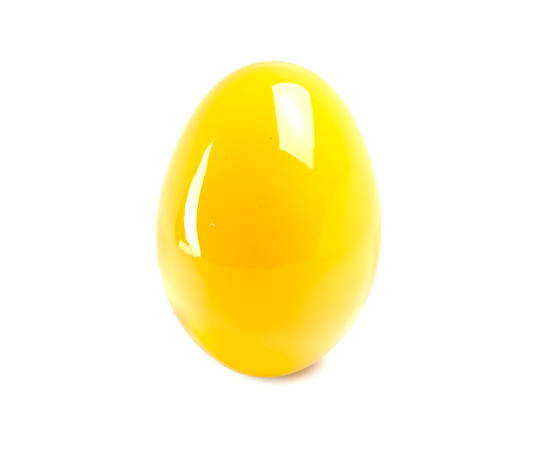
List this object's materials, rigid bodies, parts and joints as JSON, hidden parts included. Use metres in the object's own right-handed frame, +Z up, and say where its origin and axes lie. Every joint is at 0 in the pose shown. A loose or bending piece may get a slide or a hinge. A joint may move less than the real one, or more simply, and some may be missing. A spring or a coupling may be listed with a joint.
{
  "type": "egg shaker",
  "caption": "Hand percussion shaker: a hollow turned wooden egg in gloss yellow lacquer, glued at a spigot joint and filled with loose steel balls that rattle inside.",
  "frame": {"origin": "centre of the small flat that the egg stands on", "axes": "+Z up the egg's axis of symmetry, from the wide end to the narrow end; +X and +Y are arbitrary, as the outside is a body of revolution"},
  "size_m": [0.045, 0.045, 0.07],
  "materials": {
    "yellow_lacquer": "high gloss opaque yellow lacquer over wood, with faint grain showing through",
    "turned_wood": "bare turned hardwood, lightly sanded",
    "wood_glue": "cured wood glue, semi-matt",
    "steel_ball": "ground steel ball, slightly scuffed"
  },
  "bodies": {
    "shell": {"lower_shell": "turned_wood", "upper_shell": "turned_wood", "glue_ring": "wood_glue", "lacquer_coat": "yellow_lacquer"},
    "ball_01": {"ball_01": "steel_ball"},
    "ball_02": {"ball_02": "steel_ball"},
    "ball_03": {"ball_03": "steel_ball"},
    "ball_04": {"ball_04": "steel_ball"},
    "ball_05": {"ball_05": "steel_ball"},
    "ball_06": {"ball_06": "steel_ball"},
    "ball_07": {"ball_07": "steel_ball"},
    "ball_08": {"ball_08": "steel_ball"},
    "ball_09": {"ball_09": "steel_ball"},
    "ball_10": {"ball_10": "steel_ball"},
    "ball_11": {"ball_11": "steel_ball"},
    "ball_12": {"ball_12": "steel_ball"},
    "ball_13": {"ball_13": "steel_ball"},
    "ball_14": {"ball_14": "steel_ball"},
    "ball_15": {"ball_15": "steel_ball"},
    "ball_16": {"ball_16": "steel_ball"},
    "ball_17": {"ball_17": "steel_ball"},
    "ball_18": {"ball_18": "steel_ball"},
    "ball_19": {"ball_19": "steel_ball"},
    "ball_20": {"ball_20": "steel_ball"},
    "ball_21": {"ball_21": "steel_ball"},
    "ball_22": {"ball_22": "steel_ball"},
    "ball_23": {"ball_23": "steel_ball"},
    "ball_24": {"ball_24": "steel_ball"},
    "ball_25": {"ball_25": "steel_ball"},
    "ball_26": {"ball_26": "steel_ball"},
    "ball_27": {"ball_27": "steel_ball"},
    "ball_28": {"ball_28": "steel_ball"},
    "ball_29": {"ball_29": "steel_ball"},
    "ball_30": {"ball_30": "steel_ball"},
    "ball_31": {"ball_31": "steel_ball"}
  },
  "joints": [
    {"name": "ball_01_rattle", "type": "slide", "parent": "shell", "child": "ball_01", "axis": [0, 0, 1], "range_m": [0, 0.0513]},
    {"name": "ball_02_rattle", "type": "slide", "parent": "shell", "child": "ball_02", "axis": [0, 0, 1], "range_m": [0, 0.052]},
    {"name": "ball_03_rattle", "type": "slide", "parent": "shell", "child": "ball_03", "axis": [0, 0, 1], "range_m": [0, 0.0518]},
    {"name": "ball_04_rattle", "type": "slide", "parent": "shell", "child": "ball_04", "axis": [0, 0, 1], "range_m": [0, 0.052]},
    {"name": "ball_05_rattle", "type": "slide", "parent": "shell", "child": "ball_05", "axis": [0, 0, 1], "range_m": [0, 0.0513]},
    {"name": "ball_06_rattle", "type": "slide", "parent": "shell", "child": "ball_06", "axis": [0, 0, 1], "range_m": [0, 0.0464]},
    {"name": "ball_07_rattle", "type": "slide", "parent": "shell", "child": "ball_07", "axis": [0, 0, 1], "range_m": [0, 0.0483]},
    {"name": "ball_08_rattle", "type": "slide", "parent": "shell", "child": "ball_08", "axis": [0, 0, 1], "range_m": [0, 0.0485]},
    {"name": "ball_09_rattle", "type": "slide", "parent": "shell", "child": "ball_09", "axis": [0, 0, 1], "range_m": [0, 0.0494]},
    {"name": "ball_10_rattle", "type": "slide", "parent": "shell", "child": "ball_10", "axis": [0, 0, 1], "range_m": [0, 0.0484]},
    {"name": "ball_11_rattle", "type": "slide", "parent": "shell", "child": "ball_11", "axis": [0, 0, 1], "range_m": [0, 0.0484]},
    {"name": "ball_12_rattle", "type": "slide", "parent": "shell", "child": "ball_12", "axis": [0, 0, 1], "range_m": [0, 0.0494]},
    {"name": "ball_13_rattle", "type": "slide", "parent": "shell", "child": "ball_13", "axis": [0, 0, 1], "range_m": [0, 0.0485]},
    {"name": "ball_14_rattle", "type": "slide", "parent": "shell", "child": "ball_14", "axis": [0, 0, 1], "range_m": [0, 0.0483]},
    {"name": "ball_15_rattle", "type": "slide", "parent": "shell", "child": "ball_15", "axis": [0, 0, 1], "range_m": [0, 0.0464]},
    {"name": "ball_16_rattle", "type": "slide", "parent": "shell", "child": "ball_16", "axis": [0, 0, 1], "range_m": [0, 0.0482]},
    {"name": "ball_17_rattle", "type": "slide", "parent": "shell", "child": "ball_17", "axis": [0, 0, 1], "range_m": [0, 0.0407]},
    {"name": "ball_18_rattle", "type": "slide", "parent": "shell", "child": "ball_18", "axis": [0, 0, 1], "range_m": [0, 0.0407]},
    {"name": "ball_19_rattle", "type": "slide", "parent": "shell", "child": "ball_19", "axis": [0, 0, 1], "range_m": [0, 0.0399]},
    {"name": "ball_20_rattle", "type": "slide", "parent": "shell", "child": "ball_20", "axis": [0, 0, 1], "range_m": [0, 0.0432]},
    {"name": "ball_21_rattle", "type": "slide", "parent": "shell", "child": "ball_21", "axis": [0, 0, 1], "range_m": [0, 0.0424]},
    {"name": "ball_22_rattle", "type": "slide", "parent": "shell", "child": "ball_22", "axis": [0, 0, 1], "range_m": [0, 0.0398]},
    {"name": "ball_23_rattle", "type": "slide", "parent": "shell", "child": "ball_23", "axis": [0, 0, 1], "range_m": [0, 0.0422]},
    {"name": "ball_24_rattle", "type": "slide", "parent": "shell", "child": "ball_24", "axis": [0, 0, 1], "range_m": [0, 0.0398]},
    {"name": "ball_25_rattle", "type": "slide", "parent": "shell", "child": "ball_25", "axis": [0, 0, 1], "range_m": [0, 0.0424]},
    {"name": "ball_26_rattle", "type": "slide", "parent": "shell", "child": "ball_26", "axis": [0, 0, 1], "range_m": [0, 0.0432]},
    {"name": "ball_27_rattle", "type": "slide", "parent": "shell", "child": "ball_27", "axis": [0, 0, 1], "range_m": [0, 0.0399]},
    {"name": "ball_28_rattle", "type": "slide", "parent": "shell", "child": "ball_28", "axis": [0, 0, 1], "range_m": [0, 0.0407]},
    {"name": "ball_29_rattle", "type": "slide", "parent": "shell", "child": "ball_29", "axis": [0, 0, 1], "range_m": [0, 0.0406]},
    {"name": "ball_30_rattle", "type": "slide", "parent": "shell", "child": "ball_30", "axis": [0, 0, 1], "range_m": [0, 0.0406]},
    {"name": "ball_31_rattle", "type": "slide", "parent": "shell", "child": "ball_31", "axis": [0, 0, 1], "range_m": [0, 0.0406]}
  ]
}
